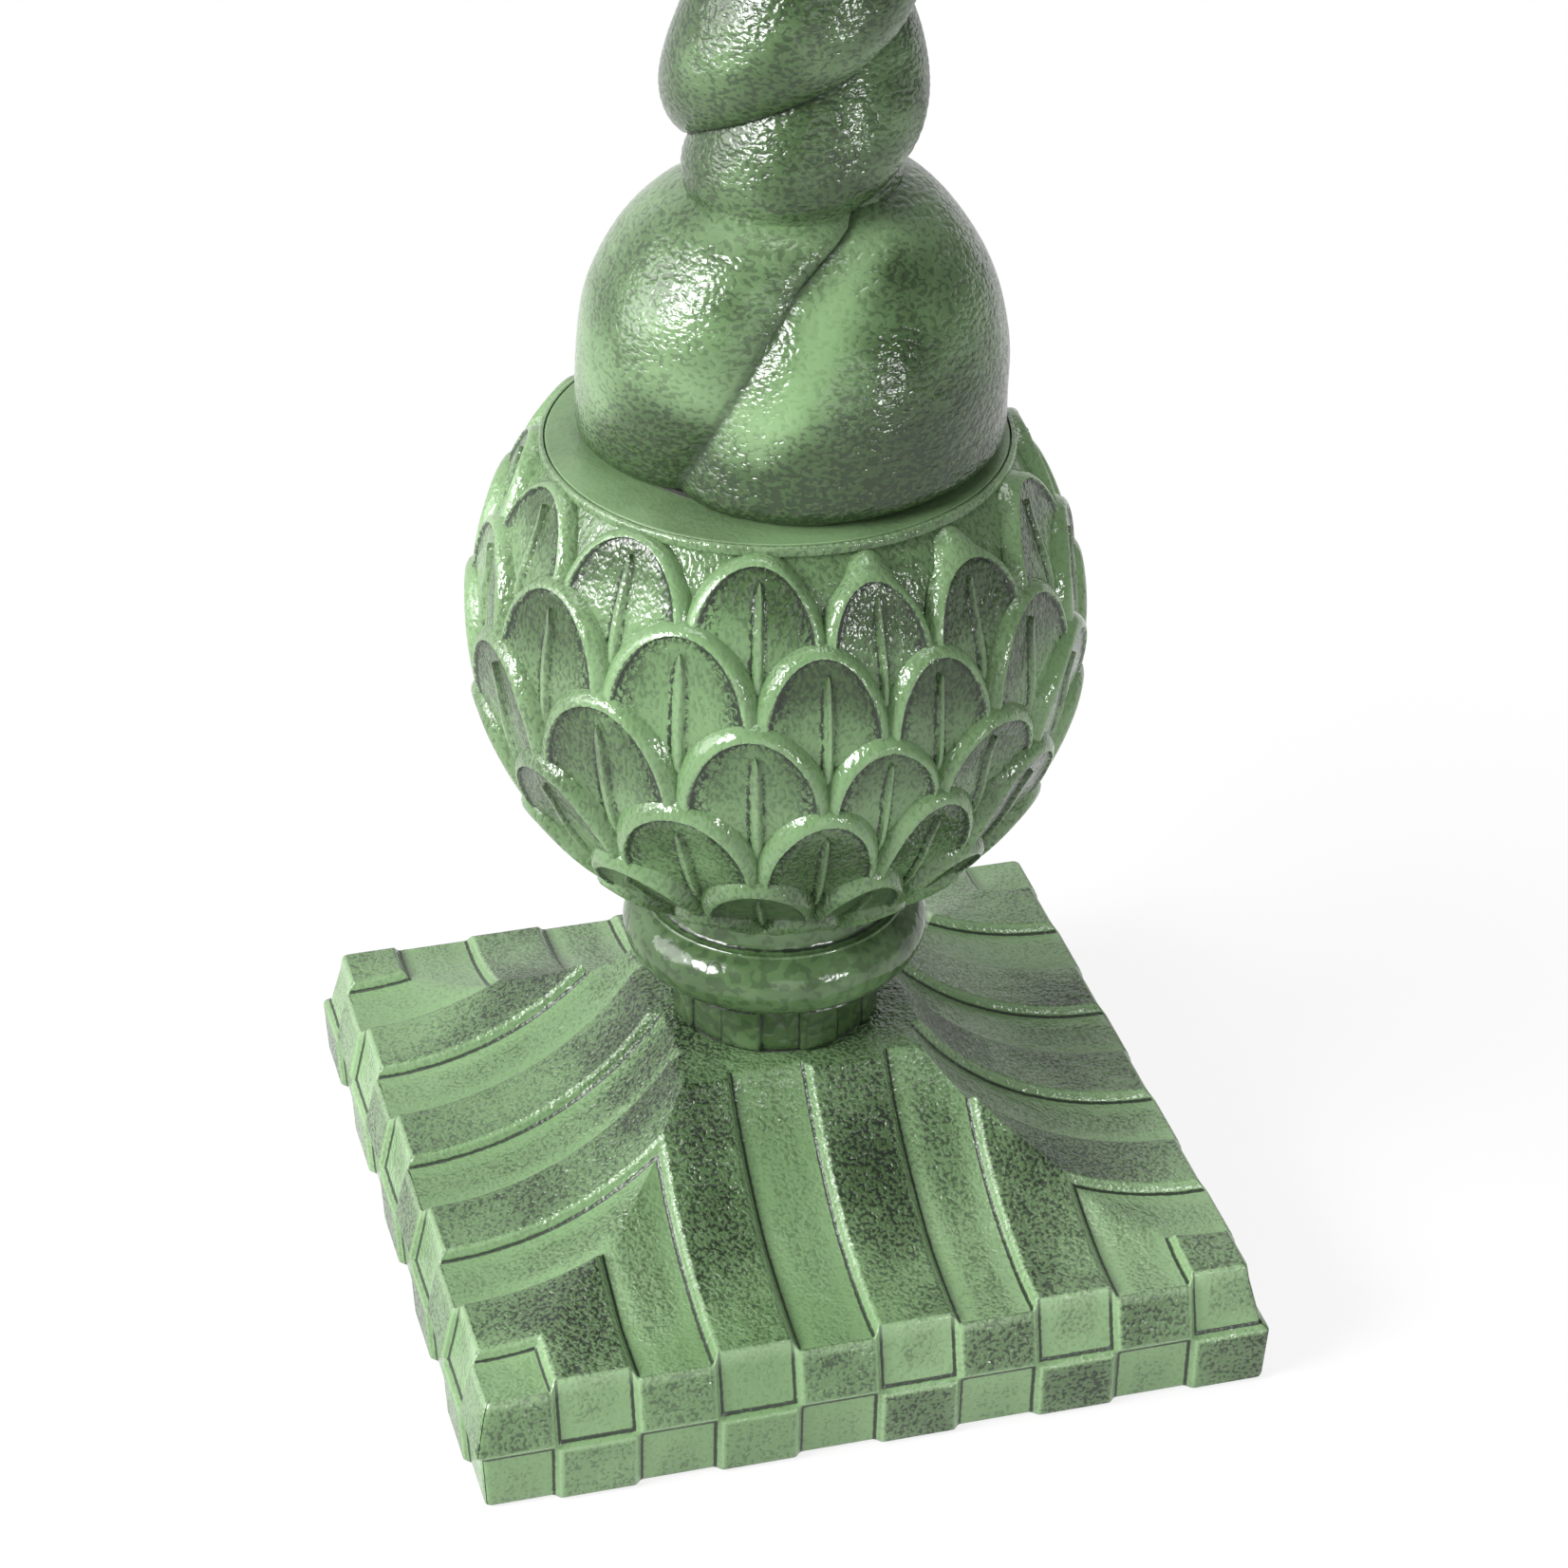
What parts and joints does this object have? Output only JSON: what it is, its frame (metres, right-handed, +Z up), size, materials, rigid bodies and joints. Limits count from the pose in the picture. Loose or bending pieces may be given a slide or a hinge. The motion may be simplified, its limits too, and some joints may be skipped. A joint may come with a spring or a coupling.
{
  "type": "garden obelisk",
  "caption": "Green lacquered garden obelisk: checkered square base, ringed neck, artichoke and a twisted rope column that turns and lifts off, with a ball finial.",
  "frame": {"origin": "centre of the base on the ground plane, under the rubber pads", "axes": "+Z up along the tie rod, +X to the right along the base's front edge, +Y to the back"},
  "size_m": [0.3, 0.3, 1.164],
  "materials": {
    "green_lacquer": "gloss",
    "bare_steel": "satin",
    "black_rubber": "matte",
    "nylon": "satin"
  },
  "bodies": {
    "pedestal": {"base_casting": "green_lacquer", "base_plate": "bare_steel", "base_plate_screws": "bare_steel", "foot_pads": "black_rubber", "lower_washer": "bare_steel", "lower_nut": "bare_steel", "tie_rod": "bare_steel", "base_gasket": "black_rubber", "neck_casting": "green_lacquer", "collar_gasket": "black_rubber", "artichoke_casting": "green_lacquer", "upper_washer": "bare_steel", "upper_nut": "bare_steel", "seat_disc": "green_lacquer", "column_seat_ring": "black_rubber", "spigot_washer": "bare_steel", "spigot_nut": "bare_steel"},
    "sleeve": {"pivot_sleeve": "nylon"},
    "column": {"column_casting": "green_lacquer", "column_foot_plate": "bare_steel", "socket_tube": "bare_steel", "socket_guide_ring": "nylon", "finial_insert": "bare_steel", "finial_stud": "bare_steel", "finial_collar": "green_lacquer", "finial": "green_lacquer"}
  },
  "joints": [
    {"name": "column_turn", "type": "hinge", "parent": "pedestal", "child": "sleeve", "pos_m": [0, 0, 0.342], "axis": [0, 0, 1], "continuous": true},
    {"name": "column_lift", "type": "slide", "parent": "sleeve", "child": "column", "axis": [0, 0, 1], "range_m": [0, 0.12]}
  ]
}
